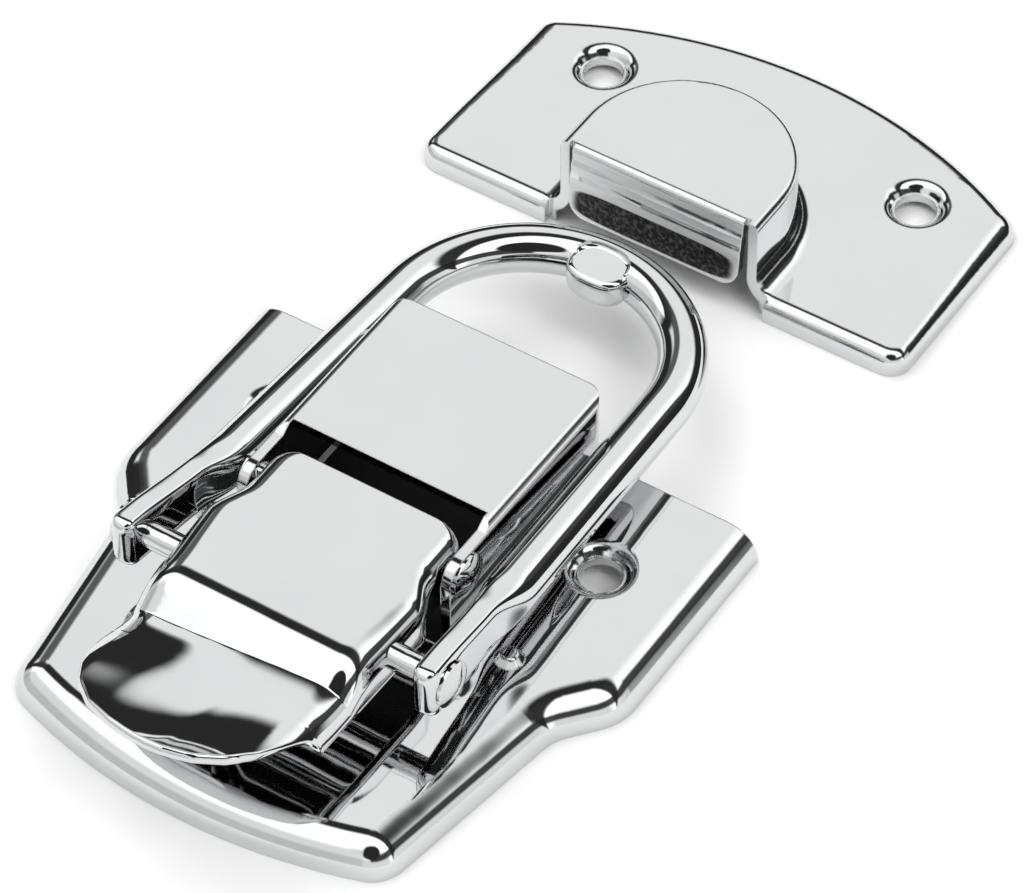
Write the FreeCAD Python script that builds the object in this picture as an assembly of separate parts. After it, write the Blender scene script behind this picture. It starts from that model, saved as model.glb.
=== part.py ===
import FreeCAD, Part
import os, math
from FreeCAD import Vector as V

# Toggle (draw) latch: pressed base plate, lever, wire bail, two rivets and a separate strike plate.
# Frame: +Z up from the mounting surface, +Y from the base towards the strike, +X across.
# Origin: on the mounting surface, at the middle of the whole set's length and width.
# All Y values below are measured from the base plate's ear edge; SETBACK moves them to the origin.

# ---- driving dimensions (mm) ----
SETBACK = 0.22          # middle of the set behind the ear edge
HOLE_Y = 10.7           # screw-hole line behind the ear edge
T = 1.0                 # sheet thickness of base and strike
T_LEVER = 0.9           # sheet thickness of lever
SCREW_X = 17.3          # half spacing of the screw holes, base and strike
SCREW_R = 2.0           # screw hole radius
DIMPLE_D = 0.85         # dimple depth
DIMPLE_SLOPE = 52.0     # steepest slope of the dimple, degrees
DIMPLE_ROUND = 1.25     # rounding into the dimple

BASE_HALF_W = 26.9      # half width at the ears
BASE_H = 3.3            # top face above the mounting surface
BASE_RIM_R = 3.1        # rounding of the turned-down rim
BASE_TAIL_R = 55.5      # radius of the curved tail edge
BASE_LEN = 51.3         # ear edge to the tail
BASE_TAPER_X = 19.6    # half width where the taper meets the tail
BASE_S1_Y = 22.2        # start of the waist
BASE_S2 = (22.9, 27.0)  # end of the waist (x, distance from the ear edge)

BOX_HALF_W = 11.1       # raised box, outside of the side walls
BOX_TOP = 12.8
BOX_FRONT = 17.6        # the box roof starts this far behind the ear edge
BOX_EDGE_R = 1.0
BOX_FOOT_R = 2.4
BOX_END_R = 1.9         # rounding in plan of the box's far corners
CHEEK_END = 25.0        # the cheeks run on to here
CHEEK_TOP = 12.1

PIVOT_Y, PIVOT_Z = -22.4, 9.8        # lever pivot
BAIL_Y, BAIL_Z = -33.4, 10.1         # bail pivot on the lever
PIN_R = 1.25
PIN_CLEAR = 0.05                     # radial running clearance
HEAD_R = 2.15
HEAD_H = 0.8

LEVER_NARROW = 9.8      # half width between the cheeks
LEVER_WIDE = 11.3      # half width behind the cheeks
LEVER_TOP = 12.7
LEVER_START = -20.5     # leading edge
LEVER_EDGE_R = 1.7
LEVER_FLANGE_Z = 8.1    # lower edge of the flanges
LEVER_BEND_Y = -36.3    # where the top starts to bend down
LEVER_BEND_R = 5.0
LEVER_SLOPE = 35.0      # degrees
LEVER_CREASE_DROP = 1.45
SCOOP_R = 23.3
LEVER_TAPER = 0.018     # narrowing of the lever towards the tip, per mm of length

WIRE_R = 2.3
BAIL_ARC_R = 13.8       # centre-line radius of the loop
BAIL_ARC_Y = 4.4       # centre of the loop
BAIL_LEG_X = 14.6       # leg centre line at the crank
BAIL_CRANK_Y = -22.0
BAIL_CRANK_Z = 8.48
BAIL_PITCH = math.degrees(math.atan(0.039))
EYE_X = 15.45           # eye centre
EYE_T = 2.5
EYE_H = 5.6
EYE_END_Y = -36.2
NIB_W = 6.8
NIB_T = 3.2
NIB_OUT = 1.7

ST_HALF_W = 26.45
ST_FRONT = 25.4         # front edge with the latch open, strike drawn clear of the base
ST_REAR = 55.1
ST_REAR_R = 50.8
ST_H = 2.5
ST_RIM_R = 2.3
ST_FRONT_R = 1.4
ST_HOLE_Y = 44.2
DOME_R = 10.65
DOME_Y = 30.55          # centre of the dome's arc
DOME_TOP = 10.8
DOME_EDGE_R = 0.8
DOME_FOOT_R = 1.9
NOTCH_HALF = 11.9
CHEEK_Y = 26.2          # leading ends of the dome's side walls
TONGUE_HALF = 9.2
SLOT_HALF = 4.2         # slot for the bail's nib in the dome's rear wall
SLOT_Z = (5.3, 8.9)


def face(points):
    """Closed planar face from points; ('arc', mid, end) entries make arcs."""
    edges = []
    cur = points[0]
    for p in points[1:]:
        if isinstance(p, tuple):
            edges.append(Part.Arc(cur, p[1], p[2]).toShape())
            cur = p[2]
        else:
            edges.append(Part.makeLine(cur, p))
            cur = p
    if (cur - points[0]).Length > 1e-7:
        edges.append(Part.makeLine(cur, points[0]))
    return Part.Face(Part.Wire(edges))


def box(x0, x1, y0, y1, z0, z1):
    return Part.makeBox(x1 - x0, y1 - y0, z1 - z0, V(x0, y0, z0))


def both_sides(shape):
    return [shape, shape.mirror(V(0, 0, 0), V(1, 0, 0))]


def round_vertical(shape, spots, tol=0.05):
    """Fillet the vertical edges that stand at (x, y) with radius r."""
    for x, y, r in spots:
        picked = []
        for e in shape.Edges:
            b = e.BoundBox
            if b.XLength < 1e-4 and b.YLength < 1e-4 and b.ZLength > 0.5:
                if abs(b.XMin - x) < tol and abs(b.YMin - y) < tol:
                    picked.append(e)
        shape = shape.makeFillet(r, picked)
    return shape


def edges_where(shape, test):
    out = []
    for e in shape.Edges:
        a, b = e.ParameterRange
        pts = [e.valueAt(a + (b - a) * k / 4.0) for k in range(5)]
        if all(test(p) for p in pts):
            out.append(e)
    return out


# ------------------------------------------------------------------ base plate
def base_outline(inset):
    """Outline solid of the base plate, before its top edge is rounded."""
    w = BASE_HALF_W
    rt = BASE_TAIL_R
    cy = -BASE_LEN + rt
    ty = cy - math.sqrt(rt ** 2 - BASE_TAPER_X ** 2)
    pts = [V(w, 8, 0), V(w, -BASE_S1_Y, 0), V(BASE_S2[0], -BASE_S2[1], 0), V(BASE_TAPER_X, ty, 0),
           ('arc', V(0, cy - rt, 0), V(-BASE_TAPER_X, ty, 0)),
           V(-BASE_S2[0], -BASE_S2[1], 0), V(-w, -BASE_S1_Y, 0), V(-w, 8, 0)]
    f = face(pts)
    z1 = BASE_H
    solid = f.extrude(V(0, 0, z1))
    spots = []
    for s in (1, -1):
        spots += [(s * w, -BASE_S1_Y, 5.5), (s * BASE_S2[0], -BASE_S2[1], 5.0), (s * BASE_TAPER_X, ty, 3.5)]
    solid = round_vertical(solid, spots)
    if inset:
        top = [q for q in solid.Faces if abs(q.BoundBox.ZMin - z1) < 1e-6 and q.BoundBox.ZLength < 1e-6][0]
        g = top.makeOffset2D(-inset)
        g = g if g.ShapeType == 'Face' else Part.Face(g.Wires[0])
        g.translate(V(0, 0, -inset))
        solid = g.extrude(V(0, 0, -(z1 - inset) - 1.0))
    return solid


def rim_edges(shape, z, y_cut):
    """Top edges at height z, leaving out the one along the far end beyond y_cut."""
    return [e for e in edges_where(shape, lambda p: abs(p.z - z) < 1e-5) if e.BoundBox.YMin < y_cut]


def make_base():
    outer = base_outline(0)
    outer = outer.makeFillet(BASE_RIM_R, rim_edges(outer, BASE_H, 7.9))
    inner = base_outline(T)
    zi = BASE_H - T
    inner = inner.makeFillet(BASE_RIM_R - T, rim_edges(inner, zi, 6.9))
    # raised box, rounded along its roof edges and filleted at its feet
    def raised(half, top, y0, r_edge, z0):
        b = box(-half, half, y0, 9, z0, top)
        es = edges_where(b, lambda p: abs(p.z - top) < 1e-6 and abs(abs(p.x) - half) < 1e-6)
        return b.makeFillet(r_edge, es)
    o_box = raised(BOX_HALF_W, BOX_TOP, -CHEEK_END, BOX_EDGE_R, 0)
    outer = outer.fuse(o_box).removeSplitter()
    foot = edges_where(outer, lambda p: abs(p.z - BASE_H) < 1e-5 and abs(abs(p.x) - BOX_HALF_W) < 1e-4)
    outer = outer.makeFillet(BOX_FOOT_R, foot)
    i_box = raised(BOX_HALF_W - T, BOX_TOP - T, -CHEEK_END - 0.6, 0.25, -1)
    inner = inner.fuse(i_box).removeSplitter()
    foot = edges_where(inner, lambda p: abs(p.z - zi) < 1e-5 and abs(abs(p.x) - (BOX_HALF_W - T)) < 1e-4)
    inner = inner.makeFillet(BOX_FOOT_R + T - 0.4, foot)
    plate = outer.cut(inner)
    # raw ear edge and open far end of the box
    plate = plate.cut(box(-40, 40, 0, 20, -5, 30))
    # far corners of the box, rounded in plan
    r = BOX_END_R
    for k in (1, -1):
        corner = box(0, r + 3, 0, r + 3, BASE_H + BOX_FOOT_R, 20).cut(Part.makeCylinder(r, 40, V(0, 0, -10), V(0, 0, 1)))
        corner.translate(V(BOX_HALF_W - r, -r, 0))
        if k < 0:
            corner = corner.mirror(V(0, 0, 0), V(1, 0, 0))
        plate = plate.cut(corner)
    # opening for the lever between the cheeks
    gap = box(-(BOX_HALF_W - T), BOX_HALF_W - T, -CHEEK_END - 1, -BOX_FRONT, BASE_H + 0.5, 30)
    plate = plate.cut(gap)
    # cheeks: lower upper edge, rounded front corner
    for s in (1, -1):
        x0, x1 = (BOX_HALF_W - T - 0.01, BOX_HALF_W + 0.5)
        prof = face([V(0, -BOX_FRONT - 0.6, BOX_TOP + 1), V(0, -BOX_FRONT - 0.6, BOX_TOP),
                     V(0, -BOX_FRONT - 1.6, CHEEK_TOP), V(0, -CHEEK_END + 2.2, CHEEK_TOP),
                     ('arc', V(0, -CHEEK_END + 2.2 - 2.2 * math.sin(math.radians(45)), CHEEK_TOP - 2.2 * (1 - math.cos(math.radians(45)))),
                      V(0, -CHEEK_END, CHEEK_TOP - 2.2)),
                     V(0, -CHEEK_END - 1.0, CHEEK_TOP - 2.2), V(0, -CHEEK_END - 1.0, BOX_TOP + 1)])
        cutter = prof.extrude(V(x1 - x0, 0, 0))
        cutter.translate(V(x0, 0, 0))
        if s < 0:
            cutter = cutter.mirror(V(0, 0, 0), V(1, 0, 0))
        plate = plate.cut(cutter)
    # pivot holes: the pin is riveted tight in the cheeks
    hole = Part.makeCylinder(PIN_R, 60, V(-30, PIVOT_Y, PIVOT_Z), V(1, 0, 0))
    plate = plate.cut(hole)
    for s in (1, -1):
        plate = add_screw_hole(plate, s * SCREW_X, -HOLE_Y, BASE_H)
        pip = Part.makeCone(1.5, 0.8, 1.1, V(s * 16.2, -23.6, BASE_H - 0.3), V(0, 0, 1))
        pip = pip.makeFillet(0.4, [e for e in edges_where(pip, lambda p: abs(p.z - (BASE_H + 0.8)) < 1e-5)])
        plate = plate.fuse(pip)
    return plate.removeSplitter()


def add_screw_hole(plate, x, y, top):
    """Screw hole in a rounded dimple pressed into the sheet."""
    rb = SCREW_R + 0.25
    a = math.radians(DIMPLE_SLOPE)
    r = DIMPLE_ROUND
    drop = r * (1 - math.cos(a))
    run = (DIMPLE_D - drop) / math.tan(a)
    r1 = rb + run
    r0 = r1 + r * math.sin(a)
    under = Part.makeCone(rb + T * 0.8, r0 + 0.1, DIMPLE_D, V(x, y, top - T - DIMPLE_D + 0.15), V(0, 0, 1))
    plate = plate.fuse(under)
    prof = face([V(0, 0, top + 1), V(r0, 0, top + 1), V(r0, 0, top),
                 ('arc', V(r0 - r * math.sin(a / 2), 0, top - r * (1 - math.cos(a / 2))), V(r1, 0, top - drop)),
                 V(rb, 0, top - DIMPLE_D), V(0, 0, top - DIMPLE_D)])
    dimple = prof.revolve(V(0, 0, 0), V(0, 0, 1), 360)
    dimple.translate(V(x, y, 0))
    plate = plate.cut(dimple)
    return plate.cut(Part.makeCylinder(SCREW_R, 20, V(x, y, -5), V(0, 0, 1)))


# ------------------------------------------------------------------ lever
def lever_profile(offset, y_start, y_end):
    """Side face of the lever's top surface (moved inwards by offset), closed far below."""
    a = math.radians(LEVER_SLOPE)
    rb = LEVER_BEND_R - offset
    rc = 0.9 + offset
    rs = SCOOP_R + offset
    cb = (LEVER_BEND_Y, LEVER_TOP - LEVER_BEND_R)              # bend centre
    # end of bend on the outer surface, then a short slope to the crease
    def at(c, r, ang):                                          # ang from +Z towards -Y
        return (c[0] - r * math.sin(ang), c[1] + r * math.cos(ang))
    e0 = at(cb, LEVER_BEND_R, a)
    drop = LEVER_CREASE_DROP - LEVER_BEND_R * (1 - math.cos(a))
    s1 = (e0[0] - drop / math.tan(a), e0[1] - drop)
    # crease: concave arc from slope -a to slope b, then the scoop
    b = math.radians(-6.0)
    cc = (s1[0] - 0.9 * math.sin(a), s1[1] + 0.9 * math.cos(a)) # crease centre, above the sheet
    def below(c, r, slope):                                     # point of a concave arc where the slope going to -Y is `slope`
        return (c[0] - r * math.sin(slope), c[1] - r * math.cos(slope))
    e1 = below(cc, 0.9, b)
    cs = (e1[0] + SCOOP_R * math.sin(b), e1[1] + SCOOP_R * math.cos(b))
    def p(q):
        return V(0, q[0], q[1])
    k0 = at(cb, rb, 0)
    k1 = at(cb, rb, a / 2)
    k2 = at(cb, rb, a)
    c0 = below(cc, rc, -a)
    c1 = below(cc, rc, (-a + b) / 2)
    c2 = below(cc, rc, b)
    end = math.asin((cs[0] - y_end) / rs)
    g1 = below(cs, rs, (b + end) / 2)
    g2 = below(cs, rs, end)
    top = LEVER_TOP - offset
    pts = [V(0, y_start, -20), V(0, y_start, top), p(k0), ('arc', p(k1), p(k2)), p(c0),
           ('arc', p(c1), p(c2)), ('arc', p(g1), p(g2)), V(0, g2[0], -20)]
    return face(pts)


def lever_plan(inset, y_start, y_end, z0, z1):
    n = LEVER_NARROW - inset
    w = LEVER_WIDE - inset
    ya, yb = -25.6, -29.3
    we = w - LEVER_TAPER * (yb - y_end)
    f = face([V(n, y_start, 0), V(n, ya, 0), V(w, yb, 0), V(we, y_end, 0),
              V(-we, y_end, 0), V(-w, yb, 0), V(-n, ya, 0), V(-n, y_start, 0)])
    f.translate(V(0, 0, z0))
    s = f.extrude(V(0, 0, z1 - z0))
    spots = []
    for k in (1, -1):
        spots += [(k * n, ya, 3.5 + inset), (k * w, yb, 3.5 - inset)]
    return round_vertical(s, spots)


def make_lever():
    def body(off, y0, y1, r):
        prof = lever_profile(off, y0, y1)
        prof.translate(V(-20, 0, 0))
        s = prof.extrude(V(40, 0, 0))
        s = s.common(lever_plan(off, y0, y1, -25, 40))
        def on_top_side(p):
            return p.z > 9.0
        es = []
        for e in s.Edges:
            b = e.BoundBox
            if b.ZMin < 8.0:
                continue
            if b.XLength > 15:
                continue
            if b.ZLength < 1e-4 and b.YLength < 1e-4:
                continue
            es.append(e)
        return s.makeFillet(r, es)
    outer = body(0.0, LEVER_START, -62.0, LEVER_EDGE_R)
    inner = body(T_LEVER, LEVER_START + 3, -63.0, LEVER_EDGE_R - T_LEVER)
    sheet = outer.cut(inner)
    # plan trim: rounded lip with the flanges running out into it
    lip = [(11.5, -43.2), (10.5, -44.9), (10.0, -46.0), (9.5, -47.9), (8.75, -50.3), (7.3, -52.6), (5.2, -54.45), (2.7, -55.35), (0.0, -55.55)]
    pts = [V(x, y, 0) for x, y in lip]
    left = [V(-x, y, 0) for x, y in reversed(lip)][1:]
    spl = Part.BSplineCurve()
    spl.interpolate(pts + left)
    wire = Part.Wire([spl.toShape(), Part.makeLine(left[-1], V(-20, -43.2, 0)), Part.makeLine(V(-20, -43.2, 0), V(-20, 0, 0)),
                      Part.makeLine(V(-20, 0, 0), V(20, 0, 0)), Part.makeLine(V(20, 0, 0), V(20, -43.2, 0)),
                      Part.makeLine(V(20, -43.2, 0), pts[0])])
    trim = Part.Face(wire).extrude(V(0, 0, 60))
    trim.translate(V(0, 0, -20))
    sheet = sheet.common(trim)
    # side trim: lower edge of the flanges, round about the pivot
    ear = 2.45
    c45 = math.cos(math.radians(45))
    side = face([V(0, LEVER_START, 30), V(0, -62, 30), V(0, -62, LEVER_FLANGE_Z), V(0, -31.0, LEVER_FLANGE_Z),
                 V(0, -27.5, PIVOT_Z - ear),
                 V(0, PIVOT_Y, PIVOT_Z - ear),
                 ('arc', V(0, PIVOT_Y + ear * c45, PIVOT_Z - ear * c45), V(0, PIVOT_Y + ear, PIVOT_Z)),
                 V(0, PIVOT_Y + ear, PIVOT_Z + 0.8), V(0, LEVER_START, LEVER_TOP - 1.2)])
    side = side.extrude(V(60, 0, 0))
    side.translate(V(-30, 0, 0))
    sheet = sheet.common(side)
    # leading corners of the top, rounded in plan
    for s in (1, -1):
        r = 1.6
        corner = box(0, r + 3, 0, r + 3, LEVER_TOP - 3.0, 20).cut(Part.makeCylinder(r, 40, V(0, 0, -10), V(0, 0, 1)))
        corner.translate(V(LEVER_NARROW - r, LEVER_START - r, 0))
        if s < 0:
            corner = corner.mirror(V(0, 0, 0), V(1, 0, 0))
        sheet = sheet.cut(corner)
    # running hole on the base's rivet, tight hole for the bail's rivet
    for y, z, r in ((PIVOT_Y, PIVOT_Z, PIN_R + PIN_CLEAR), (BAIL_Y, BAIL_Z, PIN_R)):
        sheet = sheet.cut(Part.makeCylinder(r, 60, V(-30, y, z), V(1, 0, 0)))
    return sheet.removeSplitter()


# ------------------------------------------------------------------ rivet pins
def make_pin(half, y, z):
    """Round pin with a low domed head at each end; heads bear at x = +-half."""
    pin = Part.makeCylinder(PIN_R, 2 * half, V(-half, y, z), V(1, 0, 0))
    for s in (1, -1):
        rim = 0.25
        rad = (HEAD_R ** 2 + (HEAD_H - rim) ** 2) / (2 * (HEAD_H - rim))
        cyl = Part.makeCylinder(HEAD_R, HEAD_H, V(s * half, y, z), V(s, 0, 0))
        ball = Part.makeSphere(rad, V(s * (half + HEAD_H - rad), y, z))
        pin = pin.fuse(cyl.common(ball))
    return pin.removeSplitter()


# ------------------------------------------------------------------ bail
def make_bail():
    pitch = math.radians(BAIL_PITCH)
    # centre line in its own plane: legs run into the loop at a tangent
    lo, hi = 0.0, math.radians(10)
    for _ in range(60):
        d = (lo + hi) / 2
        x = BAIL_ARC_R * math.cos(d) + math.tan(d) * (BAIL_ARC_Y + BAIL_ARC_R * math.sin(d) - BAIL_CRANK_Y)
        if x > BAIL_LEG_X:
            hi = d
        else:
            lo = d
    tp = V(BAIL_ARC_R * math.cos(d), BAIL_ARC_Y + BAIL_ARC_R * math.sin(d), 0)
    yend = BAIL_CRANK_Y - 1.8
    leg_end = V(BAIL_LEG_X + math.tan(d) * 1.8, yend, 0)
    path = Part.Wire([Part.makeLine(leg_end, tp),
                      Part.Arc(tp, V(0, BAIL_ARC_Y + BAIL_ARC_R, 0), V(-tp.x, tp.y, 0)).toShape(),
                      Part.makeLine(V(-tp.x, tp.y, 0), V(-leg_end.x, leg_end.y, 0))])
    prof = Part.Wire([Part.Circle(leg_end, tp - leg_end, WIRE_R).toShape()])
    rod = path.makePipeShell([prof], True, False)
    ends = [e for e in rod.Edges if e.Closed and e.BoundBox.YMax < yend + 1.0]
    rod = rod.makeFillet(1.7, ends)
    # pressed nib on the inner side of the loop
    apex = BAIL_ARC_Y + BAIL_ARC_R
    y0 = apex - WIRE_R - NIB_OUT
    nib = box(-NIB_W / 2, NIB_W / 2, y0, apex - 0.4, -1.5, NIB_T - 1.5)
    nib = nib.makeFillet(1.6, [e for e in nib.Edges if e.BoundBox.ZLength > 1 and e.BoundBox.YMax < y0 + 0.01])
    nib = nib.makeFillet(0.6, [e for e in edges_where(nib, lambda p: abs(p.z - (NIB_T - 1.5)) < 1e-6 and p.y < apex - 0.5)])
    nib = nib.makeFillet(0.6, [e for e in edges_where(nib, lambda p: abs(p.z + 1.5) < 1e-6 and p.y < apex - 0.5)])
    rod = rod.fuse(nib)
    flat = box(-2.7, 2.7, y0 - 1, apex - 0.9, NIB_T - 1.5, 4)
    flat = flat.makeFillet(1.3, [e for e in flat.Edges if e.BoundBox.ZLength > 1 and e.BoundBox.YMin > apex - 1.0])
    rod = rod.cut(flat)
    rod.rotate(V(0, BAIL_CRANK_Y, 0), V(1, 0, 0), -BAIL_PITCH)
    rod.translate(V(0, 0, BAIL_CRANK_Z))

    def section(cx, y, cz, w, h, r):
        x0, x1, z0, z1 = cx - w / 2, cx + w / 2, cz - h / 2, cz + h / 2
        k = r * (1 - math.sqrt(0.5))
        p = [V(x0 + r, y, z0), V(x1 - r, y, z0), ('arc', V(x1 - k, y, z0 + k), V(x1, y, z0 + r)),
             V(x1, y, z1 - r), ('arc', V(x1 - k, y, z1 - k), V(x1 - r, y, z1)),
             V(x0 + r, y, z1), ('arc', V(x0 + k, y, z1 - k), V(x0, y, z1 - r)),
             V(x0, y, z0 + r), ('arc', V(x0 + k, y, z0 + k), V(x0 + r, y, z0))]
        return face(p).OuterWire
    secs = [section(BAIL_LEG_X, -20.6, BAIL_CRANK_Z, 2.3, 3.2, 0.7),
            section(BAIL_LEG_X + 0.25, -24.4, BAIL_CRANK_Z + 0.25, EYE_T + 0.2, 5.0, 0.8),
            section(EYE_X, BAIL_Y, BAIL_Z, EYE_T, EYE_H, 0.6),
            section(EYE_X + 0.2, EYE_END_Y, BAIL_Z + 0.3, EYE_T, EYE_H, 0.6)]
    eye = Part.makeLoft(secs, True, False)
    bail = rod
    for k in both_sides(eye):
        bail = bail.fuse(k)
    bail = bail.cut(Part.makeCylinder(PIN_R + PIN_CLEAR, 60, V(-30, BAIL_Y, BAIL_Z), V(1, 0, 0)))
    # flat seats for the rivet heads
    for s in (1, -1):
        seat = Part.makeCylinder(HEAD_R + 0.25, 3, V(s * (EYE_X + EYE_T / 2), BAIL_Y, BAIL_Z), V(s, 0, 0))
        bail = bail.cut(seat)
        seat = Part.makeCylinder(HEAD_R, 3, V(s * (EYE_X - EYE_T / 2), BAIL_Y, BAIL_Z), V(-s, 0, 0))
        bail = bail.cut(seat)
    return bail.removeSplitter()


# ------------------------------------------------------------------ strike plate
def strike_outline(inset):
    w = ST_HALF_W
    cy = ST_REAR - ST_REAR_R
    ry = cy + math.sqrt(ST_REAR_R ** 2 - w ** 2)
    f = face([V(w, ST_FRONT, 0), V(w, ry, 0), ('arc', V(0, ST_REAR, 0), V(-w, ry, 0)), V(-w, ST_FRONT, 0)])
    s = f.extrude(V(0, 0, ST_H))
    s = round_vertical(s, [(w, ry, 2.6), (-w, ry, 2.6), (w, ST_FRONT, 2.2), (-w, ST_FRONT, 2.2)])
    if inset:
        top = [q for q in s.Faces if abs(q.BoundBox.ZMin - ST_H) < 1e-6 and q.BoundBox.ZLength < 1e-6][0]
        g = top.makeOffset2D(-inset)
        g = g if g.ShapeType == 'Face' else Part.Face(g.Wires[0])
        g.translate(V(0, 0, -inset))
        s = g.extrude(V(0, 0, -(ST_H - inset) - 1.0))
    return s


def round_rim(shape, z, r_side, r_front, y_front):
    """Round the top edge: r_side round the rear, easing along the sides to r_front at the front."""
    doc = FreeCAD.newDocument("rim")
    src = doc.addObject("Part::Feature", "src")
    src.Shape = shape
    fil = doc.addObject("Part::Fillet", "fil")
    fil.Base = src
    spec = []
    for i, e in enumerate(src.Shape.Edges):
        b = e.BoundBox
        if b.ZLength > 1e-5 or abs(b.ZMin - z) > 1e-5:
            continue
        if b.YMax < y_front + 4.0:
            spec.append((i + 1, r_front, r_front))
        elif b.XLength < 1e-3:
            first = e.valueAt(e.ParameterRange[0])
            if first.y < y_front + 5:
                spec.append((i + 1, r_front, r_side))
            else:
                spec.append((i + 1, r_side, r_front))
        else:
            spec.append((i + 1, r_side, r_side))
    fil.Edges = spec
    doc.recompute()
    out = fil.Shape.copy()
    good = 'Invalid' not in fil.State and not out.isNull() and out.isValid() and abs(out.Volume - shape.Volume) > 1
    FreeCAD.closeDocument(doc.Name)
    if not good:
        print("variable rim failed, using one radius")
        es = [e for e in shape.Edges if e.BoundBox.ZLength < 1e-5 and abs(e.BoundBox.ZMin - z) < 1e-5]
        out = shape.makeFillet(min(r_side, 1.9), es)
    return out


def make_strike():
    outer = round_rim(strike_outline(0), ST_H, ST_RIM_R, ST_FRONT_R, ST_FRONT)
    inner = round_rim(strike_outline(T), ST_H - T, ST_RIM_R - T, ST_FRONT_R - T, ST_FRONT + T)

    def dome(r, top, z0, r_edge, y0):
        f = face([V(r, y0, 0), V(r, DOME_Y, 0), ('arc', V(0, DOME_Y + r, 0), V(-r, DOME_Y, 0)), V(-r, y0, 0)])
        f.translate(V(0, 0, z0))
        s = f.extrude(V(0, 0, top - z0))
        es = [e for e in edges_where(s, lambda p: abs(p.z - top) < 1e-6) if e.BoundBox.YMax > y0 + 0.1]
        return s.makeFillet(r_edge, es)
    y0 = ST_FRONT - 4
    outer = outer.fuse(dome(DOME_R, DOME_TOP, 0, DOME_EDGE_R, y0)).removeSplitter()
    foot = [e for e in edges_where(outer, lambda p: abs(p.z - ST_H) < 1e-5 and abs(p.x) < DOME_R + 0.01 and ST_FRONT + 0.5 < p.y < DOME_Y + DOME_R + 0.1)]
    outer = outer.makeFillet(DOME_FOOT_R, foot)
    inner = inner.fuse(dome(DOME_R - T, DOME_TOP - T, -1, 0.25, y0 - 1)).removeSplitter()
    zi = ST_H - T
    foot = [e for e in edges_where(inner, lambda p: abs(p.z - zi) < 1e-5 and abs(p.x) < DOME_R - T + 0.01 and p.y > ST_FRONT + 1.0 and p.y < DOME_Y + DOME_R)]
    inner = inner.makeFillet(DOME_FOOT_R + T - 0.5, foot)
    plate = outer.cut(inner)
    # nothing of the dome stands ahead of the rim
    plate = plate.cut(box(-40, 40, y0 - 5, ST_FRONT, -5, 30))
    # notch: the front of the dome is open and the rim stops each side of it
    plate = plate.cut(box(-NOTCH_HALF, NOTCH_HALF, y0 - 5, CHEEK_Y, -5, 30))
    plate = plate.cut(box(-(DOME_R - T), DOME_R - T, y0 - 5, 26.75, -5, 30))
    # front tongue: bends down from the dome's roof, two small steps, then flares forward
    zt = DOME_TOP
    outer_line = [(28.2, zt), (26.75, zt), ('arc', (26.20, zt - 0.23), (25.98, zt - 0.80)), (25.98, zt - 1.55),
                  (25.72, zt - 2.10), (25.72, zt - 2.95), (25.50, zt - 3.50), (25.50, zt - 4.10), (25.10, zt - 7.80)]
    def prof(line, back):
        pts = []
        for q in line:
            if q[0] == 'arc':
                pts.append(('arc', V(0, q[1][0], q[1][1]), V(0, q[2][0], q[2][1])))
            else:
                pts.append(V(0, q[0], q[1]))
        return pts
    t = 0.9
    inner_line = [(25.10 + t, zt - 7.85), (25.50 + t, zt - 4.0), (25.50 + t, zt - 3.4), (25.72 + t, zt - 2.85), (25.72 + t, zt - 2.0),
                  (25.98 + t, zt - 1.5), (26.95, zt - 1.0), (28.2, zt - 1.0)]
    tongue = face(prof(outer_line, 0) + [V(0, a, b) for a, b in inner_line]).extrude(V(2 * TONGUE_HALF, 0, 0))
    tongue.translate(V(-TONGUE_HALF, 0, 0))
    # rounded lower corners of the tongue
    r = 2.0
    zb = zt - 7.85
    k = r * (1 - math.sqrt(0.5))
    h = TONGUE_HALF
    mask = face([V(-h, 20, 20), V(-h, 20, zb + r), ('arc', V(-h + k, 20, zb + k), V(-h + r, 20, zb)), V(h - r, 20, zb),
                 ('arc', V(h - k, 20, zb + k), V(h, 20, zb + r)), V(h, 20, 20)]).extrude(V(0, 20, 0))
    tongue = tongue.common(mask)
    plate = plate.fuse(tongue)
    # slot for the bail's nib
    slot = box(-SLOT_HALF, SLOT_HALF, DOME_Y + DOME_R - 3.0, DOME_Y + DOME_R + 2.0, SLOT_Z[0], SLOT_Z[1])
    slot = slot.makeFillet(1.2, [e for e in slot.Edges if e.BoundBox.YLength > 1])
    plate = plate.cut(slot)
    for s in (1, -1):
        plate = add_screw_hole(plate, s * SCREW_X, ST_HOLE_Y, ST_H)
    return plate.removeSplitter()


nodes = {
    "base_plate": make_base,
    "lever": make_lever,
    "lever_pin": lambda: make_pin(BOX_HALF_W, PIVOT_Y, PIVOT_Z),
    "bail": make_bail,
    "bail_pin": lambda: make_pin(EYE_X + EYE_T / 2 + PIN_CLEAR, BAIL_Y, BAIL_Z),
    "strike_plate": make_strike,
}

os.makedirs("parts", exist_ok=True)
for name, maker in nodes.items():
    shape = maker()
    if shape.ShapeType == 'Compound' and len(shape.Solids) == 1:
        shape = shape.Solids[0]
    shape.translate(V(0, SETBACK, 0))
    print(name, shape.ShapeType, "solids", len(shape.Solids), "valid", shape.isValid(), "volume %.1f" % shape.Volume,
          "box", [round(v, 2) for v in (shape.BoundBox.XMin, shape.BoundBox.XMax, shape.BoundBox.YMin, shape.BoundBox.YMax, shape.BoundBox.ZMin, shape.BoundBox.ZMax)])
    shape.exportStep("parts/%s.step" % name)
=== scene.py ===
import bpy, bmesh, math
import numpy as np
from mathutils import Vector, Matrix


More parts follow.
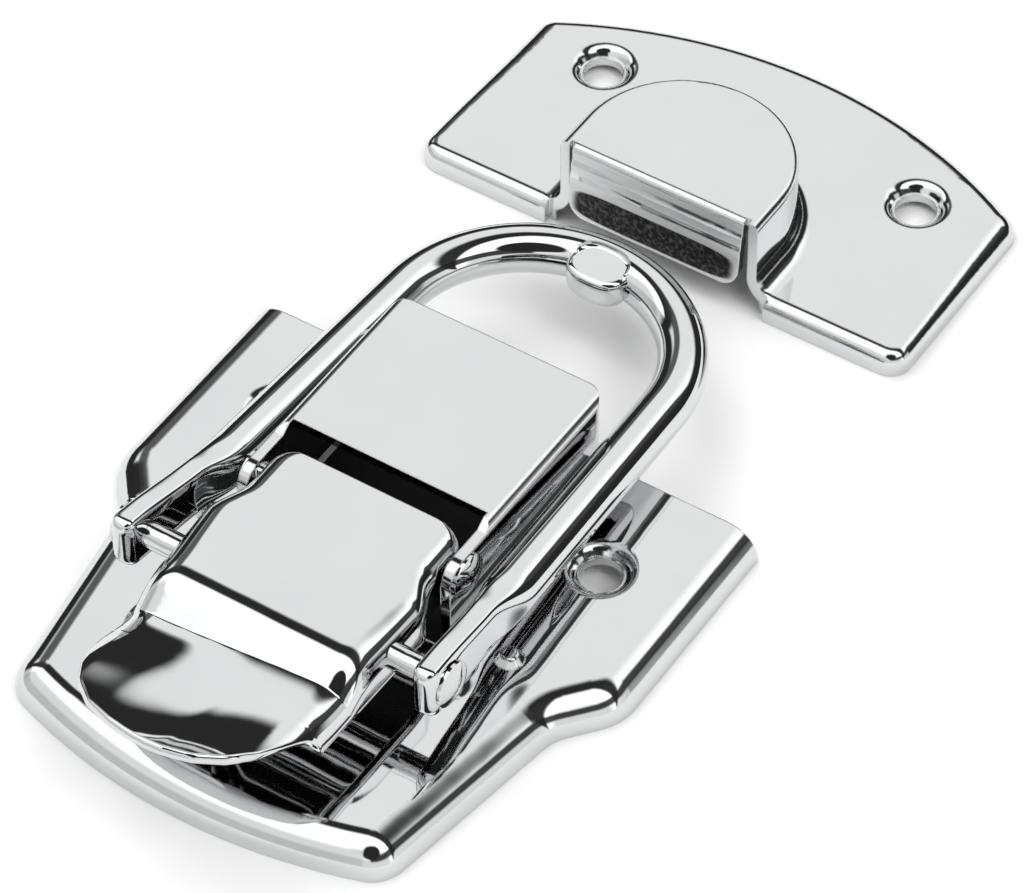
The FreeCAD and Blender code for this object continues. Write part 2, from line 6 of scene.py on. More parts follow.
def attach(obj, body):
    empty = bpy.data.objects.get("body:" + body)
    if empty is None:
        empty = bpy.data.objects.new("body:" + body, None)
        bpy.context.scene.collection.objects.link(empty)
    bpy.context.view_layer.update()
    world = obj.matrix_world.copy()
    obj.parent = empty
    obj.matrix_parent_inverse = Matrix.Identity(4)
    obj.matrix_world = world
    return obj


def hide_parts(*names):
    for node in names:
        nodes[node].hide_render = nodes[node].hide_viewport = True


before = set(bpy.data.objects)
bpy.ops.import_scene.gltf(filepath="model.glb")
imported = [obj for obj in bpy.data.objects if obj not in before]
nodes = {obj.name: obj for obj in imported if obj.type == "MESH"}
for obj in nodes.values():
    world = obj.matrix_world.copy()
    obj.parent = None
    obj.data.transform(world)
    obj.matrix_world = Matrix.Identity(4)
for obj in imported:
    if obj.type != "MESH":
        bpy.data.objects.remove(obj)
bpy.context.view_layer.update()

MM = 0.001
SET = 0.22          # row frame Y = drawing Y + SET, in mm


# ------------------------------------------------------------------ materials
def chrome(name, tint, rough, wave=0.0, wave_scale=60.0, haze=0.02, edge=0.0, painted_dark_reflection=None):
    """Bright plating: fine polish variation in roughness and a very slight waviness of the sheet."""
    m = bpy.data.materials.new(name)
    m.use_nodes = True
    nt = m.node_tree
    for n in list(nt.nodes):
        nt.nodes.remove(n)
    out = nt.nodes.new("ShaderNodeOutputMaterial")
    bsdf = nt.nodes.new("ShaderNodeBsdfPrincipled")
    bsdf.inputs["Metallic"].default_value = 1.0
    tc = nt.nodes.new("ShaderNodeTexCoord")
    mp = nt.nodes.new("ShaderNodeMapping")
    mp.inputs["Scale"].default_value = (1.0, 1.0, 1.0)
    nt.links.new(tc.outputs["Object"], mp.inputs["Vector"])
    # colour: plating varies slightly from place to place
    big = nt.nodes.new("ShaderNodeTexNoise")
    big.inputs["Scale"].default_value = 120.0
    big.inputs["Detail"].default_value = 3.0
    nt.links.new(mp.outputs[0], big.inputs["Vector"])
    cr = nt.nodes.new("ShaderNodeValToRGB")
    cr.color_ramp.elements[0].position = 0.3
    cr.color_ramp.elements[0].color = (tint[0] * 0.96, tint[1] * 0.96, tint[2] * 0.965, 1)
    cr.color_ramp.elements[1].position = 0.75
    cr.color_ramp.elements[1].color = (tint[0], tint[1], tint[2], 1)
    nt.links.new(big.outputs["Fac"], cr.inputs["Fac"])
    nt.links.new(cr.outputs["Color"], bsdf.inputs["Base Color"])
    # roughness: polishing haze
    fine = nt.nodes.new("ShaderNodeTexNoise")
    fine.inputs["Scale"].default_value = 900.0
    fine.inputs["Detail"].default_value = 4.0
    nt.links.new(mp.outputs[0], fine.inputs["Vector"])
    mr = nt.nodes.new("ShaderNodeMapRange")
    mr.inputs["From Min"].default_value = 0.3
    mr.inputs["From Max"].default_value = 0.8
    mr.inputs["To Min"].default_value = rough
    mr.inputs["To Max"].default_value = rough + haze
    nt.links.new(fine.outputs["Fac"], mr.inputs["Value"])
    nt.links.new(mr.outputs[0], bsdf.inputs["Roughness"])
    if wave > 0:
        wv = nt.nodes.new("ShaderNodeTexNoise")
        wv.inputs["Scale"].default_value = wave_scale
        wv.inputs["Detail"].default_value = 1.0
        nt.links.new(mp.outputs[0], wv.inputs["Vector"])
        bump = nt.nodes.new("ShaderNodeBump")
        bump.inputs["Strength"].default_value = wave
        bump.inputs["Distance"].default_value = 0.0004
        nt.links.new(wv.outputs["Fac"], bump.inputs["Height"])
        nt.links.new(bump.outputs[0], bsdf.inputs["Normal"])
        if edge > 0:
            # the cut edges of the sheet are slightly rounded by tumbling
            bev = nt.nodes.new("ShaderNodeBevel")
            bev.samples = 4
            bev.inputs["Radius"].default_value = edge
            nt.links.new(bev.outputs[0], bump.inputs["Normal"])
    nt.links.new(bsdf.outputs[0], out.inputs["Surface"])
    if painted_dark_reflection is not None:
        # painted dark reflection: in the tongue's recess the colour is made dark and grainy, standing in for the
        # shaded surroundings reflected there; the last argument gives (centre, half size) of the place
        sep = nt.nodes.new("ShaderNodeSeparateXYZ")
        nt.links.new(tc.outputs["Object"], sep.inputs[0])
        acc = None
        for k in range(3):
            # ((p - centre) / half) ** 4, summed: a box with rounded corners and a soft border
            c = nt.nodes.new("ShaderNodeMath")
            c.operation = 'MULTIPLY_ADD'
            nt.links.new(sep.outputs[k], c.inputs[0])
            c.inputs[1].default_value = 1.0 / painted_dark_reflection[1][k]
            c.inputs[2].default_value = -painted_dark_reflection[0][k] / painted_dark_reflection[1][k]
            a = nt.nodes.new("ShaderNodeMath")
            a.operation = 'ABSOLUTE'
            nt.links.new(c.outputs[0], a.inputs[0])
            q = nt.nodes.new("ShaderNodeMath")
            q.operation = 'POWER'
            nt.links.new(a.outputs[0], q.inputs[0])
            q.inputs[1].default_value = 5.0
            if acc is None:
                acc = q.outputs[0]
            else:
                m2 = nt.nodes.new("ShaderNodeMath")
                m2.operation = 'ADD'
                nt.links.new(acc, m2.inputs[0])
                nt.links.new(q.outputs[0], m2.inputs[1])
                acc = m2.outputs[0]
        fade = nt.nodes.new("ShaderNodeMapRange")
        fade.interpolation_type = 'SMOOTHSTEP'
        nt.links.new(acc, fade.inputs["Value"])
        fade.inputs["From Min"].default_value = 1.25
        fade.inputs["From Max"].default_value = 0.75
        acc = fade.outputs[0]
        painted_reflection_grain = nt.nodes.new("ShaderNodeTexNoise")
        painted_reflection_grain.inputs["Scale"].default_value = 2600.0
        painted_reflection_grain.inputs["Detail"].default_value = 3.0
        nt.links.new(mp.outputs[0], painted_reflection_grain.inputs["Vector"])
        painted_reflection_ramp = nt.nodes.new("ShaderNodeValToRGB")
        painted_reflection_ramp.color_ramp.elements[0].position = 0.45
        painted_reflection_ramp.color_ramp.elements[0].color = (0.022, 0.022, 0.022, 1)
        painted_reflection_ramp.color_ramp.elements[1].position = 0.72
        painted_reflection_ramp.color_ramp.elements[1].color = (0.11, 0.11, 0.11, 1)
        nt.links.new(painted_reflection_grain.outputs["Fac"], painted_reflection_ramp.inputs["Fac"])
        mx = nt.nodes.new("ShaderNodeMix")
        mx.data_type = 'RGBA'
        nt.links.new(acc, mx.inputs[0])
        nt.links.new(cr.outputs["Color"], mx.inputs[6])
        nt.links.new(painted_reflection_ramp.outputs["Color"], mx.inputs[7])
        nt.links.new(mx.outputs[2], bsdf.inputs["Base Color"])
    return m


TINT = (0.660, 0.668, 0.670)
mat_sheet = chrome("plated_base", TINT, 0.035, wave=0.04, wave_scale=260.0, edge=0.00022)
# the strike tongue's lower face gets a painted dark reflection: a dark, grainy patch of colour
mat_strike = chrome("plated_strike", TINT, 0.035, wave=0.04, wave_scale=260.0, edge=0.00022,
                    painted_dark_reflection=((0.0, (25.3 + SET) * MM, 4.85 * MM), (0.0086, 0.0026, 0.00155)))
mat_lever = chrome("plated_lever", TINT, 0.04, wave=0.05, wave_scale=230.0, haze=0.03)
mat_wire = chrome("plated_wire", TINT, 0.03, wave=0.03, wave_scale=320.0)
mat_rivet = chrome("plated_rivet", (0.64, 0.645, 0.645), 0.06, wave=0.12, wave_scale=700.0, haze=0.05)
finish = {"base_plate": mat_sheet, "strike_plate": mat_strike, "lever": mat_lever, "bail": mat_wire, "lever_pin": mat_rivet, "bail_pin": mat_rivet}
for n, o in nodes.items():
    o.data.materials.clear()
    o.data.materials.append(finish[n])


# ------------------------------------------------------------------ mesh helpers
def smooth(a, b, v):
    t = np.clip((v - a) / (b - a), 0.0, 1.0)
    return t * t * (3 - 2 * t)


def make_object(name, verts, faces, mat):
    """Mesh object from drawing coordinates in mm, smooth shaded."""
    me = bpy.data.meshes.new(name)
    v = np.array(verts, dtype=float)
    v[:, 1] += SET
    me.from_pydata((v * MM).tolist(), [], faces)
    me.validate()
    bm = bmesh.new()
    bm.from_mesh(me)
    bmesh.ops.recalc_face_normals(bm, faces=bm.faces)
    for f in bm.faces:
        f.smooth = True
    bm.to_mesh(me)
    bm.free()
    o = bpy.data.objects.new(name, me)
    bpy.context.scene.collection.objects.link(o)
    me.materials.append(mat)
    return o


def rod_mesh(r, x0, x1, y, z, n=48):
    """Closed round bar along X, used only to cut a hole."""
    v, f = [], []
    for x in (x0, x1):
        for i in range(n):
            a = 2 * math.pi * i / n
            v.append((x, y + r * math.cos(a), z + r * math.sin(a)))
    for i in range(n):
        j = (i + 1) % n
        f.append((i, j, n + j, n + i))
    f.append(tuple(range(n - 1, -1, -1)))
    f.append(tuple(range(n, 2 * n)))
    return v, f


def combine(target, cutter, how):
    """Applies a boolean to target and throws the other shape away."""
    m = target.modifiers.new("bool", 'BOOLEAN')
    m.operation = how
    m.solver = 'EXACT'
    m.object = cutter
    bpy.context.view_layer.update()
    dg = bpy.context.evaluated_depsgraph_get()
    me = bpy.data.meshes.new_from_object(target.evaluated_get(dg))
    target.modifiers.remove(m)
    old = target.data
    target.data = me
    bpy.data.meshes.remove(old)
    me2 = cutter.data
    bpy.data.objects.remove(cutter)
    bpy.data.meshes.remove(me2)


def keep_edges(o, degrees):
    """Edges sharper than this stay crisp in the shading."""
    o.data.shade_smooth()
    o.data.set_sharp_from_angle(angle=math.radians(degrees))
    for p in o.data.polygons:
        # a large level facet stays truly flat
        if p.normal.z > 0.9999 and p.area > 1.0e-6:
            for k in p.loop_indices:
                o.data.edges[o.data.loops[k].edge_index].use_edge_sharp = True


# ------------------------------------------------------------------ lever
def lever_mesh():
    """One pressed sheet: flat top, bend, dished thumb scoop with a turned-up lip, and two flanges rolled down."""
    T = 0.9
    top, bend_y, bend_r, slope = 12.7, -36.2, 5.4, math.radians(35.0)
    e = (bend_y - bend_r * math.sin(slope), top - bend_r * (1 - math.cos(slope)))
    crease = 11.22
    dy = (e[1] - crease) / math.tan(slope)
    yc = e[0] - dy

    def run(y, early, lean):
        """Height along the lever; lean lowers the crease and early turns the scoop up sooner."""
        low = crease - 0.7 * lean
        end = e[0] - (e[1] - low) / math.tan(slope)
        if y > bend_y:
            return top
        if y > e[0]:
            return top - bend_r + math.sqrt(bend_r ** 2 - (bend_y - y) ** 2)
        if y > end:
            return top - bend_r * (1 - math.cos(slope)) - (e[0] - y) * math.tan(slope)
        u = end - y
        a = 23.3
        dip = -0.105 * u * math.exp(-u / 3.0) * (1 - early)
        base = a - math.sqrt(a * a - min(max(u - 1.9, 0), 20.0) ** 2)
        q = max(u - 0.3, 0.0)
        up = 0.365 * (q - 0.7 * (1 - math.exp(-q / 0.7)))
        return low + dip + base * (1 - early) + up * early

    lip = [(11.45, -43.8), (11.0, -44.3), (10.45, -45.1), (10.05, -46.2), (9.6, -47.8), (8.85, -50.1), (7.4, -52.3), (5.25, -54.0), (2.7, -54.8), (0.75, -55.0)]
    ly = [-q[1] for q in lip]
    lx = [q[0] for q in lip]

    def width(y):
        w = 9.8 + (11.3 - 9.8) * float(smooth(25.2, 29.8, -y))
        return w - 0.018 * max(0.0, -29.3 - y)

    ys = list(np.linspace(-20.5, -21.0, 7)) + list(np.linspace(-21.2, -36.0, 52)) + list(np.linspace(-36.15, e[0] - 0.05, 26)) + \
        list(np.linspace(e[0] - 0.15, yc + 0.05, 8)) + list(np.linspace(yc - 0.05, -43.3, 22)) + list(-np.interp(np.linspace(0, 1, 48)[1:] ** 0.75, np.linspace(0, 1, 25), np.interp(np.linspace(0, 1, 25), np.linspace(0, 1, 10), ly)))
    ys = sorted(set(round(v, 4) for v in ys), reverse=True)
    M = 81
    rows = []
    for y in ys:
        w = width(y)
        re = 2.0 + 0.9 * float(smooth(27.0, 37.0, -y))
        clip = 99.0
        if y < -43.8:
            clip = float(np.interp(-y, ly, lx))
        if y > -22.1:
            t = (y + 22.1) / 1.75
            w = 9.8 - 1.5 * (1 - math.sqrt(max(0.0, 1 - t * t)))
        # lower edge of the flange
        if y > -22.4:
            zf = 9.8 - math.sqrt(max(0.0, 2.45 ** 2 - (y + 22.4) ** 2))
        else:
            zf = 7.35 + 0.75 * float(smooth(26.5, 31.5, -y))
        deep = float(smooth(41.5, 50.0, -y))
        half = []
        for sgn in (-1, 1):
            pts = []
            xf = w - re
            for x in np.linspace(0.0, xf, 41):
                X = sgn * x
                early = 0.88 * float(smooth(-2.2, 4.5, -X)) * (1.0 - 0.28 * float(smooth(46.0, 57.0, -y)))
                z = run(y, early, float(smooth(-11.0, 11.0, -X))) + 0.35 * deep * float(smooth(3.0, 9.5, abs(X)))
                pts.append((x, z))
            z0 = pts[-1][1]
            for a in np.linspace(0, math.pi / 2, 16)[1:]:
                pts.append((xf + re * math.sin(a), z0 - re * (1 - math.cos(a))))
            zl = pts[-1][1]
            if zl - 0.05 > zf:
                for k in np.linspace(0, 1, 10)[1:]:
                    pts.append((w, zl + (zf - zl) * k))
            P = np.array(pts)
            # clip by plan outline and by the flange's lower edge
            keep = []
            for i in range(len(P)):
                if P[i, 0] > clip or P[i, 1] < zf - 1e-9 and i > 41:
                    q0 = P[i - 1]
                    t = 1.0
                    if P[i, 0] > clip:
                        t = min(t, (clip - q0[0]) / (P[i, 0] - q0[0] + 1e-12))
                    if P[i, 1] < zf and i > 41:
                        t = min(t, (zf - q0[1]) / (P[i, 1] - q0[1] - 1e-12))
                    keep.append(q0 + (P[i] - q0) * max(0.0, min(1.0, t)))
                    break
                keep.append(P[i])
            P = np.array(keep)
            d = np.concatenate([[0], np.cumsum(np.hypot(*np.diff(P, axis=0).T))])
            t = np.linspace(0, 1, M // 2 + 1)
            # even share by length over the whole section
            tt = d[-1] * t
            half.append(np.stack([sgn * np.interp(tt, d, P[:, 0]), np.interp(tt, d, P[:, 1])], 1))
        row = np.concatenate([half[0][::-1], half[1][1:]])
        rows.append(np.stack([row[:, 0], np.full(len(row), y), row[:, 1]], 1))
    G = np.array(rows)                      # stations x M x 3
    n, m = G.shape[:2]
    du = np.gradient(G, axis=1)
    dv = np.gradient(G, axis=0)
    N = np.cross(du, dv)
    N /= np.linalg.norm(N, axis=2, keepdims=True) + 1e-12
    if N[n // 3, m // 2, 2] < 0:
        N = -N
    inner = G - N * T
    # boundary loop, outer index order
    idx = lambda i, j: i * m + j
    loop = [(0, j) for j in range(m)] + [(i, m - 1) for i in range(1, n)] + [(n - 1, j) for j in range(m - 2, -1, -1)] + [(i, 0) for i in range(n - 2, 0, -1)]
    verts = [tuple(v) for v in G.reshape(-1, 3)] + [tuple(v) for v in inner.reshape(-1, 3)]
    off = n * m
    faces = []
    for i in range(n - 1):
        for j in range(m - 1):
            faces.append((idx(i, j), idx(i, j + 1), idx(i + 1, j + 1), idx(i + 1, j)))
            faces.append((off + idx(i, j), off + idx(i + 1, j), off + idx(i + 1, j + 1), off + idx(i, j + 1)))
    # rounded cut edge all round
    L = len(loop)
    pts = np.array([G[i, j] for i, j in loop])
    nor = np.array([N[i, j] for i, j in loop])
    tan = np.roll(pts, -1, 0) - np.roll(pts, 1, 0)
    tan /= np.linalg.norm(tan, axis=1, keepdims=True) + 1e-12
    out = np.cross(tan, nor)
    cen = pts.mean(0)
    if np.sum(out * (pts - cen)) < 0:
        out = -out
    prev = [idx(i, j) for i, j in loop]
    for k, (dn, do) in enumerate(((0.10, 0.10), (0.35, 0.17), (0.65, 0.17), (0.90, 0.10))):
        ring = []
        for q in range(L):
            ring.append(len(verts))
            verts.append(tuple(pts[q] - nor[q] * T * dn + out[q] * do))
        for q in range(L):
            r = (q + 1) % L
            faces.append((prev[q], prev[r], ring[r], ring[q]))
        prev = ring
    last = [off + idx(i, j) for i, j in loop]
    for q in range(L):
        r = (q + 1) % L
        faces.append((prev[q], prev[r], last[r], last[q]))
    return verts, faces


# ------------------------------------------------------------------ bail
def bail_mesh():
    """Bent wire with flattened, cranked ends: a closed sweep of a superellipse section."""
    r, R, yc = 2.3, 13.8, 4.4
    lo, hi = 0.0, math.radians(10)
    for _ in range(50):
        d = (lo + hi) / 2
        x = R * math.cos(d) + math.tan(d) * (yc + R * math.sin(d) + 22.0)
        lo, hi = (lo, d) if x > 14.6 else (d, hi)
    tx, ty = R * math.cos(d), yc + R * math.sin(d)

    def zc(y):
        return 8.48 - 0.039 * (y + 22.0)
    right = []          # (x, y, z, half width, half height, power)
    def row(y):
        t = float(smooth(20.2, 26.0, -y))
        x = 14.6 + (-22.0 - y) * math.tan(d)
        xe = float(np.interp(-y, [22, 24.4, 33.4, 36.5], [14.7, 14.85, 15.45, 15.66]))
        ze = float(np.interp(-y, [22, 24.4, 33.4, 36.5], [8.5, 8.85, 10.1, 10.42]))
        w = r + (1.25 - r) * t
        h = r + (2.5 + 0.3 * float(smooth(26, 33, -y)) - r) * t
        return (x + (xe - x) * t, y, zc(y) + (ze - zc(y)) * t, w, h, 2.0 + 2.6 * t)
    yend = -36.25
    for u in np.linspace(0, 1, 9)[1:]:
        a = u * math.pi / 2
        # rounded nose of the flattened end
        y = yend + 1.3 * (1 - math.cos(a))
        q = row(y)
        s = 1.3 * (1 - math.sin(a))
        right.append((q[0], y, q[2], max(q[3] - s, 0.12), max(q[4] - s, 0.4), q[5]))
    for y in np.linspace(yend + 1.5, ty, 90):
        right.append(row(y))
    arc = []
    for a in np.linspace(d, math.pi - d, 97)[1:-1]:
        x, y = R * math.cos(a), yc + R * math.sin(a)
        arc.append((x, y, zc(y), r, r, 2.0))
    left = [(-q[0],) + q[1:] for q in right[::-1]]
    path = right + arc + left
    P = np.array([q[:3] for q in path])
    Tn = np.gradient(P, axis=0)
    Tn[:, 2] *= 0.0                      # sections stay upright through the crank
    Tn /= np.linalg.norm(Tn, axis=1, keepdims=True) + 1e-12
    K = 48
    verts, faces = [], []
    for p, t, q in zip(P, Tn, path):
        side = np.array([t[1], -t[0], 0.0])
        for i in range(K):
            a = 2 * math.pi * i / K
            c, s = math.cos(a), math.sin(a)
            e = 2.0 / q[5]
            cx = math.copysign(abs(c) ** e, c) * q[3]
            cz = math.copysign(abs(s) ** e, s) * q[4]
            verts.append(tuple(p + side * cx + np.array([0, 0, cz])))
    n = len(path)
    for i in range(n - 1):
        for j in range(K):
            k = (j + 1) % K
            faces.append((i * K + j, i * K + k, (i + 1) * K + k, (i + 1) * K + j))
    faces.append(tuple(range(K - 1, -1, -1)))
    faces.append(tuple((n - 1) * K + j for j in range(K)))
    return verts, faces


def lobe(cx, cy, cz, hw, hl, levels, power=2.6, n=64):
    """Rounded pad: stacked superellipse outlines, each (height, inset)."""
    verts, faces = [], []
    for z, inset in levels:
        for i in range(n):
            a = 2 * math.pi * i / n
            c, s = math.cos(a), math.sin(a)
            e = 2.0 / power
            verts.append((cx + math.copysign(abs(c) ** e, c) * (hw - inset), cy + math.copysign(abs(s) ** e, s) * (hl - inset), cz + z))
    for k in range(len(levels) - 1):
        for i in range(n):
            j = (i + 1) % n
            faces.append((k * n + i, k * n + j, (k + 1) * n + j, (k + 1) * n + i))
    faces.append(tuple(range(n - 1, -1, -1)))
    faces.append(tuple((len(levels) - 1) * n + i for i in range(n)))
    return verts, faces


lever = make_object("lever_sheet", *lever_mesh(), mat_lever)
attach(lever, "lever")
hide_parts("lever")

bail = make_object("bail_wire", *bail_mesh(), mat_wire)
nz = 8.48 - 0.039 * (16.6 + 22.0)
pad = lobe(0, 16.45, nz, 3.15, 2.6, [(-1.65, 1.3), (-1.5, 0.7), (-1.2, 0.3), (-0.7, 0.05), (-0.2, 0.0), (1.05, 0.0), (1.4, 0.1), (1.62, 0.32), (1.7, 0.6)])
combine(bail, make_object("pad", *pad, mat_wire), 'UNION')
cut = lobe(0, 15.9, nz, 2.85, 2.45, [(1.69, 0.35), (1.80, 0.1), (2.0, 0.0), (5.0, -0.6)])
combine(bail, make_object("cut", *cut, mat_wire), 'DIFFERENCE')
combine(bail, make_object("cut", *rod_mesh(1.3, -20, 20, -33.4, 10.1), mat_wire), 'DIFFERENCE')
keep_edges(bail, 45)
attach(bail, "bail")
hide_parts("bail")


# ------------------------------------------------------------------ camera
az, el, roll = math.radians(33.453), math.radians(47.262), math.radians(-0.455)
back = Vector((math.sin(az) * math.cos(el), -math.cos(az) * math.cos(el), math.sin(el)))
right = Vector((math.cos(az), math.sin(az), 0.0))
up = back.cross(right)
r2 = right * math.cos(roll) + up * math.sin(roll)
u2 = -right * math.sin(roll) + up * math.cos(roll)
cam_data = bpy.data.cameras.new("camera")
cam = bpy.data.objects.new("camera", cam_data)
bpy.context.scene.collection.objects.link(cam)
cam_data.sensor_fit = 'HORIZONTAL'
cam_data.sensor_width = 36.0
cam_data.lens = 5104.0 / 1024.0 * 36.0
cam_data.clip_start = 0.01
cam_data.clip_end = 50.0
loc = Vector((172.97, -260.23 + SET, 337.29)) * MM
rot = Matrix((r2, u2, back)).transposed()
cam.matrix_world = Matrix.Translation(loc) @ rot.to_4x4()
bpy.context.scene.camera = cam

# ------------------------------------------------------------------ floor and light
def studio_world():
    """Soft studio: a pale tent, open to the dark room near the horizon and in a gap overhead."""
    w = bpy.data.worlds.new("studio")
    bpy.context.scene.world = w
    w.use_nodes = True
    nt = w.node_tree
    for n in list(nt.nodes):
        nt.nodes.remove(n)
    N, L = nt.nodes.new, nt.links.new
    out = N("ShaderNodeOutputWorld")
    bg = N("ShaderNodeBackground")
    tc = N("ShaderNodeTexCoord")
    sp = N("ShaderNodeSeparateXYZ")
    L(tc.outputs["Generated"], sp.inputs[0])

    def math_node(op, a, b=None, c=None):
        m = N("ShaderNodeMath")
        m.operation = op
        for i, v in enumerate((a, b, c)):
            if v is None:
                continue
            if isinstance(v, (int, float)):
                m.inputs[i].default_value = v
            else:
                L(v, m.inputs[i])
        return m.outputs[0]

    def ramp(fac, stops):
        r = N("ShaderNodeValToRGB")
        r.color_ramp.interpolation = 'EASE'
        els = r.color_ramp.elements
        while len(els) > 1:
            els.remove(els[0])
        els[0].position = stops[0][0]
        els[0].color = (stops[0][1],) * 3 + (1,)
        for p, v in stops[1:]:
            e = els.new(p)
            e.color = (v, v, v, 1)
        L(fac, r.inputs["Fac"])
        return r.outputs["Color"]
    x, y, z = sp.outputs[0], sp.outputs[1], sp.outputs[2]

    def mix(fac, a, b):
        m = N("ShaderNodeMix")
        m.data_type = 'FLOAT'
        L(fac, m.inputs[0])
        for i, v in ((2, a), (3, b)):
            if isinstance(v, (int, float)):
                m.inputs[i].default_value = v
            else:
                L(v, m.inputs[i])
        return m.outputs[0]
    # angle in the YZ plane: 0 = straight up, + towards +Y (behind the latch), - towards the front
    ang = math_node('ARCTAN2', y, z)
    ang01 = math_node('MULTIPLY_ADD', ang, 1.0 / math.pi, 0.5)
    # white panel overhead in front, a dark gap past the zenith, then the grey tent behind
    strip = ramp(ang01, [(0.0, 0.95), (0.50, 1.0), (0.535, 0.98), (0.56, 0.02), (0.635, 0.02), (0.672, 0.69), (0.75, 0.70), (0.95, 0.66)])
    strip = math_node('MULTIPLY', strip, 1.65)
    el = math_node('MULTIPLY_ADD', math_node('ARCSINE', z), 1.0 / math.pi, 0.5)
    # in front the panel ends at 45 degrees and the grey wall begins
    front = ramp(math_node('MULTIPLY_ADD', y, 1.0, 0.5), [(0.30, 1.0), (0.44, 0.0)])
    low = ramp(el, [(0.725, 1.0), (0.775, 0.0)])
    wall = math_node('MULTIPLY', front, low)
    value = mix(wall, strip, 1.04)
    # the tent is brighter on the right
    right = ramp(x, [(0.0, 0.0), (0.40, 1.0)])
    value = math_node('MULTIPLY', value, math_node('MULTIPLY_ADD', right, 0.38, 1.0))
    # a dark stand low on the right
    stand = math_node('MULTIPLY', ramp(x, [(0.42, 0.0), (0.50, 0.97)]), ramp(el, [(0.595, 0.0), (0.615, 1.0), (0.705, 1.0), (0.725, 0.0)]))
    value = mix(stand, value, 0.03)
    # a dark panel at the far left, behind
    panel = math_node('MULTIPLY', ramp(math_node('MULTIPLY', x, -1.0), [(0.50, 0.0), (0.58, 0.92), (0.74, 0.92), (0.82, 0.0)]), ramp(math_node('MULTIPLY_ADD', y, 1.0, 0.0), [(0.15, 0.0), (0.30, 1.0)]))
    value = mix(panel, value, 0.06)
    # the dark place the picture is taken from
    facing = math_node('MULTIPLY_ADD', x, 0.374, math_node('MULTIPLY_ADD', y, -0.566, math_node('MULTIPLY', z, 0.734)))
    value = mix(ramp(facing, [(0.915, 0.0), (0.94, 1.0)]), value, 0.03)
    # dark room near the horizon, behind
    toward = math_node('MULTIPLY_ADD', x, -0.30, math_node('MULTIPLY', y, 0.95))
    side = ramp(math_node('MULTIPLY_ADD', toward, 0.5, 0.5), [(0.42, 0.3), (0.60, 0.45), (0.68, 1.0)])
    band = ramp(el, [(0.40, 0.0), (0.44, 1.0), (0.61, 1.0), (0.655, 0.0)])
    dark = math_node('MULTIPLY', side, band)
    value = mix(dark, value, 0.03)
    L(value, bg.inputs["Color"])
    bg.inputs["Strength"].default_value = 1.0
    L(bg.outputs[0], out.inputs["Surface"])


studio_world()
bpy.context.scene.view_settings.view_transform = 'Standard'


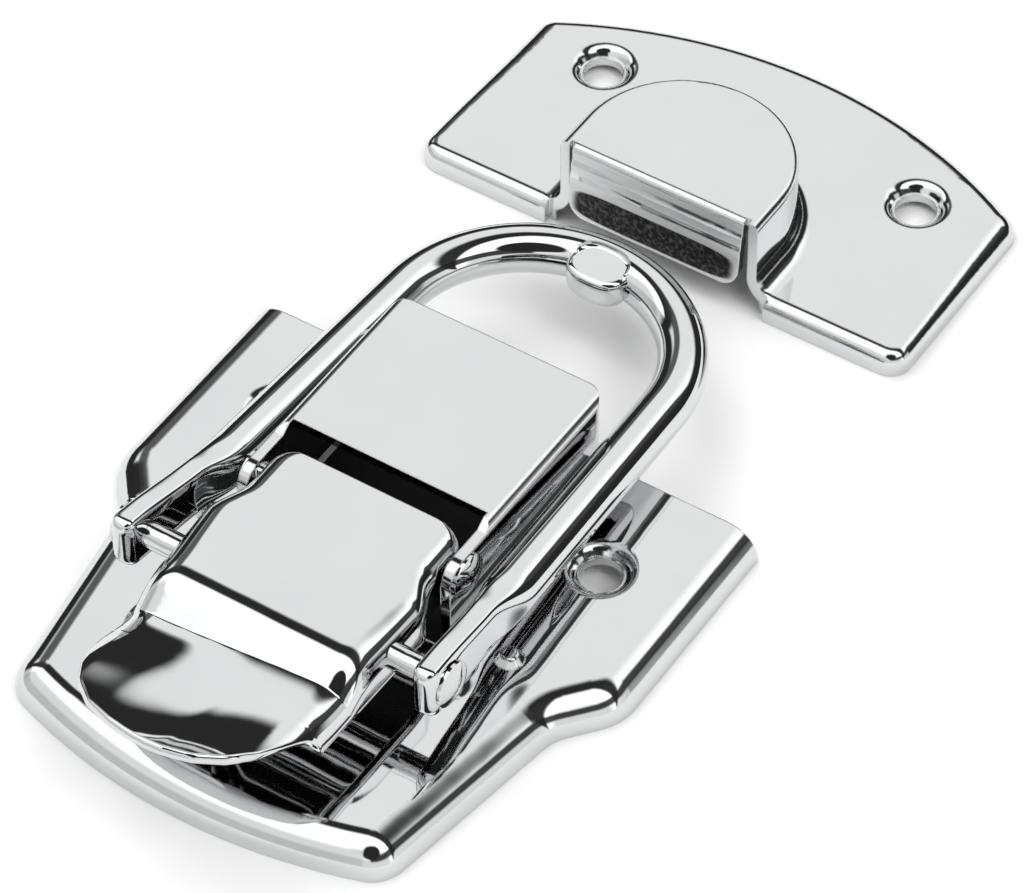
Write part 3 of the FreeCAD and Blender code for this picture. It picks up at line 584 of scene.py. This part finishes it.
def floor():
    """Large pale sheet of paper under the latch."""
    bm = bmesh.new()
    n = 96
    rings = [0.0, 0.1, 0.25, 0.5, 1.0]
    c = bm.verts.new((0, 0, -0.00002))
    prev = None
    for r in rings[1:]:
        ring = [bm.verts.new((r * math.cos(2 * math.pi * i / n), r * math.sin(2 * math.pi * i / n) + 0.01, -0.00002)) for i in range(n)]
        for i in range(n):
            j = (i + 1) % n
            if prev is None:
                bm.faces.new((c, ring[i], ring[j]))
            else:
                bm.faces.new((prev[i], ring[i], ring[j], prev[j]))
        prev = ring
    me = bpy.data.meshes.new("floor")
    bm.to_mesh(me)
    bm.free()
    o = bpy.data.objects.new("floor", me)
    bpy.context.scene.collection.objects.link(o)
    m = bpy.data.materials.new("paper")
    m.use_nodes = True
    b = m.node_tree.nodes["Principled BSDF"]
    tex = m.node_tree.nodes.new("ShaderNodeTexNoise")
    tex.inputs["Scale"].default_value = 400.0
    mr = m.node_tree.nodes.new("ShaderNodeMapRange")
    mr.inputs["To Min"].default_value = 0.90
    mr.inputs["To Max"].default_value = 0.93
    m.node_tree.links.new(tex.outputs["Fac"], mr.inputs["Value"])
    m.node_tree.links.new(mr.outputs[0], b.inputs["Base Color"])
    # painted shade: the paper's colour is darkened to 0.03 inside the housing, which stands flat on it, standing in
    # for the deep shade there
    tc = m.node_tree.nodes.new("ShaderNodeTexCoord")
    sep = m.node_tree.nodes.new("ShaderNodeSeparateXYZ")
    m.node_tree.links.new(tc.outputs["Object"], sep.inputs[0])

    def inside(sock, mid, half):
        c = m.node_tree.nodes.new("ShaderNodeMath")
        c.operation = 'COMPARE'
        m.node_tree.links.new(sock, c.inputs[0])
        c.inputs[1].default_value = mid
        c.inputs[2].default_value = half
        return c.outputs[0]
    painted_shade_mask = m.node_tree.nodes.new("ShaderNodeMath")
    painted_shade_mask.operation = 'MULTIPLY'
    m.node_tree.links.new(inside(sep.outputs[0], 0.0, 0.0120), painted_shade_mask.inputs[0])
    deep = m.node_tree.nodes.new("ShaderNodeMapRange")
    deep.interpolation_type = 'SMOOTHSTEP'
    m.node_tree.links.new(sep.outputs[1], deep.inputs["Value"])
    deep.inputs["From Min"].default_value = -0.0035
    deep.inputs["From Max"].default_value = -0.0085
    near = inside(sep.outputs[1], -0.0150, 0.0130)
    run = m.node_tree.nodes.new("ShaderNodeMath")
    run.operation = 'MULTIPLY'
    m.node_tree.links.new(deep.outputs[0], run.inputs[0])
    m.node_tree.links.new(near, run.inputs[1])
    m.node_tree.links.new(run.outputs[0], painted_shade_mask.inputs[1])
    shade = m.node_tree.nodes.new("ShaderNodeMix")
    shade.data_type = 'FLOAT'
    m.node_tree.links.new(painted_shade_mask.outputs[0], shade.inputs[0])
    m.node_tree.links.new(mr.outputs[0], shade.inputs[2])
    shade.inputs[3].default_value = 0.03
    m.node_tree.links.new(shade.outputs[0], b.inputs["Base Color"])
    b.inputs["Roughness"].default_value = 0.9
    b.inputs["Specular IOR Level"].default_value = 0.0
    me.materials.append(m)
    return o


floor()


def lamp(name, pos, size, watts):
    """Large soft lamp aimed at the middle of the latch; it lights the paper but is not mirrored in the plating."""
    data = bpy.data.lights.new(name, 'AREA')
    data.shape = 'DISK'
    data.size = size
    data.energy = watts
    o = bpy.data.objects.new(name, data)
    bpy.context.scene.collection.objects.link(o)
    v = Vector(pos)
    o.matrix_world = Matrix.Translation(v) @ v.to_track_quat('Z', 'Y').to_matrix().to_4x4()
    o.visible_glossy = False
    return o


lamp("lamp_left", (-0.7, 0.3, 0.9), 0.9, 4.6)
lamp("lamp_right", (0.8, -0.1, 0.9), 0.9, 4.6)
bpy.context.view_layer.update()
